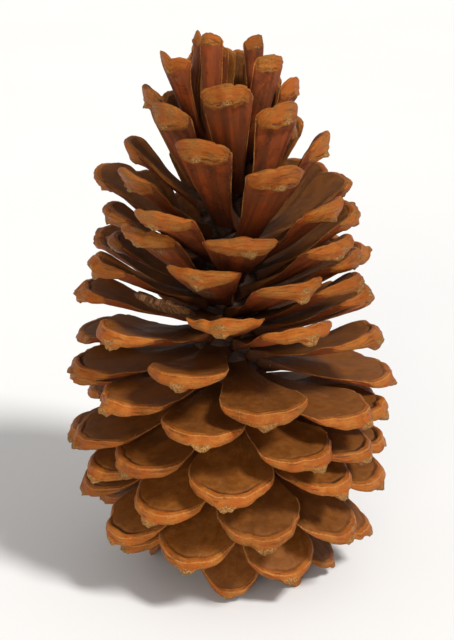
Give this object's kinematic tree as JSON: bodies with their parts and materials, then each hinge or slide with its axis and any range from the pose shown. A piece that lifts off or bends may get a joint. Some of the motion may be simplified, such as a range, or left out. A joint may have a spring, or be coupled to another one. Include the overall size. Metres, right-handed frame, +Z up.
{
  "type": "maritime pine cone",
  "caption": "Open, dry maritime pine cone: a woody axis with spiralling scales, spread wide at the base and upright at the apex, standing on its lowest scales.",
  "frame": {"origin": "middle of the cone's bounding box at the ground it stands on", "axes": "+Z up along the cone's axis, from the base to the apex; -Y towards the viewer of the picture; +X to the viewer's right"},
  "size_m": [0.0972, 0.0932, 0.1629],
  "materials": {
    "scales": "matt weathered wood, smooth inner faces, ridged tips",
    "apex_scales": "matt weathered wood, ridged shields",
    "core": "rough fibrous wood"
  },
  "bodies": {
    "root": {"axis": "core", "scales_000_008": "scales", "scales_001_009": "scales", "scales_002_010": "scales", "scales_003_011": "scales", "scales_004_012": "scales", "scales_005_013": "scales", "scales_006_014": "scales", "scales_007_015": "scales", "scales_016_024_032": "scales", "scales_017_025_033": "scales", "scales_018_026_034": "scales", "scales_019_027_035": "scales", "scales_020_028_036": "scales", "scales_021_029_037": "scales", "scales_022_030_038": "scales", "scales_023_031_039": "scales", "scales_040_048_056": "scales", "scales_041_049_057": "scales", "scales_042_050_058": "scales", "scales_043_051_059": "scales", "scales_044_052_060": "scales", "scales_045_053_061": "scales", "scales_046_054_062": "scales", "scales_047_055_063": "scales", "scales_064_072_080": "scales", "scales_065_073_081": "scales", "scales_066_074_082": "scales", "scales_067_075_083": "scales", "scales_068_076_084": "scales", "scales_069_077_085": "scales", "scales_070_078_086": "scales", "scales_071_079_087": "scales", "scales_088_096_104": "apex_scales", "scales_089_097_105": "apex_scales", "scales_090_098_106": "apex_scales", "scales_091_099_107": "apex_scales", "scales_092_100_108": "apex_scales", "scales_093_101_109": "apex_scales", "scales_094_102_110": "apex_scales", "scales_095_103_111": "apex_scales", "scales_112_120_128_136": "apex_scales", "scales_113_121_129": "apex_scales", "scales_114_122_130": "apex_scales", "scales_115_123_131": "apex_scales", "scales_116_124_132": "apex_scales", "scales_117_125_133": "apex_scales", "scales_118_126_134": "apex_scales", "scales_119_127_135": "apex_scales"}
  },
  "joints": []
}
